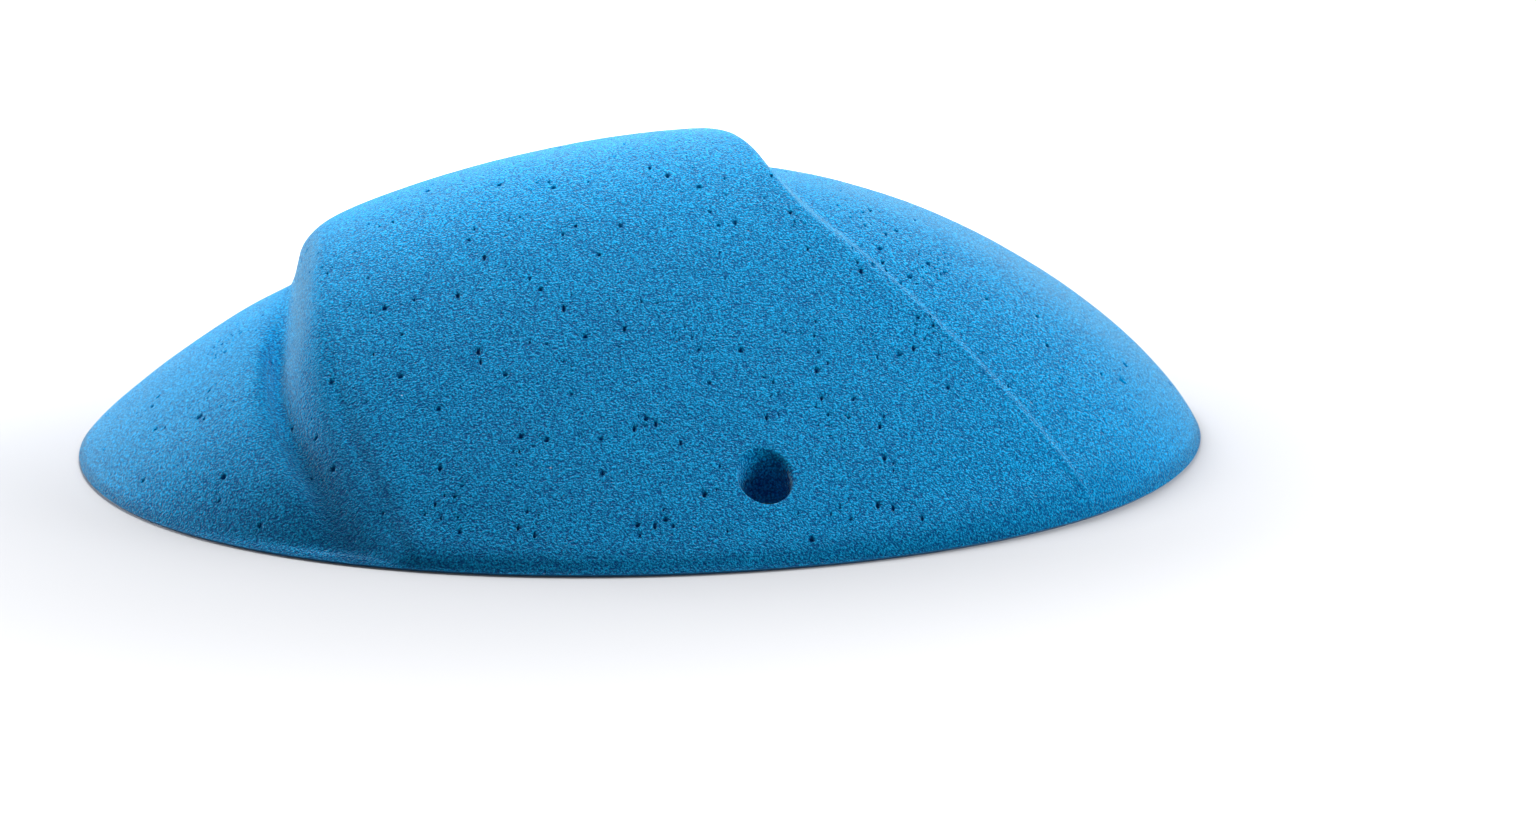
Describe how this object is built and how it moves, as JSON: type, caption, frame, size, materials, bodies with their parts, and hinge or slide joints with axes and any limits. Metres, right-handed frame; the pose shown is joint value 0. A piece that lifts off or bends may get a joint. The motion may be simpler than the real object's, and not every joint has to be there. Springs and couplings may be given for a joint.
{
  "type": "climbing hold",
  "caption": "Oval dome-shaped crimp climbing hold with a raised panel, a rounded finger edge and recessed bolt holes; hollow back, flat base.",
  "frame": {"origin": "middle of the footprint, on the wall plane", "axes": "+Z away from the wall, +X along the hold's length, +Y up the wall in use, so that the crimp edge faces +Y"},
  "size_m": [0.4, 0.31, 0.1051],
  "materials": {
    "resin": "matt blue cast polyurethane with a gritty grain and scattered pinholes",
    "steel": "zinc plated"
  },
  "bodies": {
    "root": {"hold_body": "resin", "front_bolt_washer": "steel", "rear_bolt_washer": "steel"}
  },
  "joints": []
}
